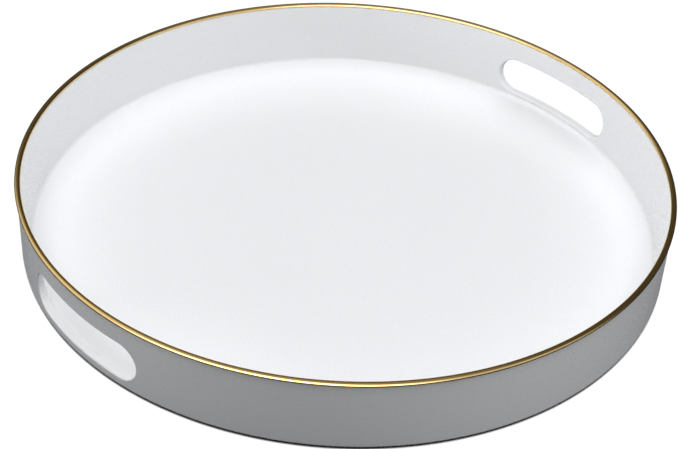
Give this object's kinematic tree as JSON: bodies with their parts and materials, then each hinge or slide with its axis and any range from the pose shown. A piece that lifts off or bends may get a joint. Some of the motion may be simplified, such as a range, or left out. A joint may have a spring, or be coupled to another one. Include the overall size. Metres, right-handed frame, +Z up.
{
  "type": "dresser vanity tray",
  "caption": "Round dresser vanity tray: a flat-bottomed moulded tray with an upright wall, two long grip slots on opposite sides and a rounded metal rim bead, on soft stick-on feet.",
  "frame": {"origin": "on the table, under the centre of the tray, at the height of the feet's undersides", "axes": "+Z up; +X and -X through the middles of the two grip slots; +Y completes a right-handed frame"},
  "size_m": [0.329, 0.329, 0.039],
  "materials": {
    "shell_white": "gloss",
    "bead_gold": "polished",
    "glue_clear": "satin",
    "pad_silicone": "satin",
    "tape_white": "matte"
  },
  "bodies": {
    "root": {"tray_shell": "shell_white", "rim_bead": "bead_gold", "rim_glue_line": "glue_clear", "foot_pad_centre": "pad_silicone", "pad_tape_centre": "tape_white", "foot_pad_front_left": "pad_silicone", "pad_tape_front_left": "tape_white", "foot_pad_front_right": "pad_silicone", "pad_tape_front_right": "tape_white", "foot_pad_rear_left": "pad_silicone", "pad_tape_rear_left": "tape_white", "foot_pad_rear_right": "pad_silicone", "pad_tape_rear_right": "tape_white"}
  },
  "joints": []
}
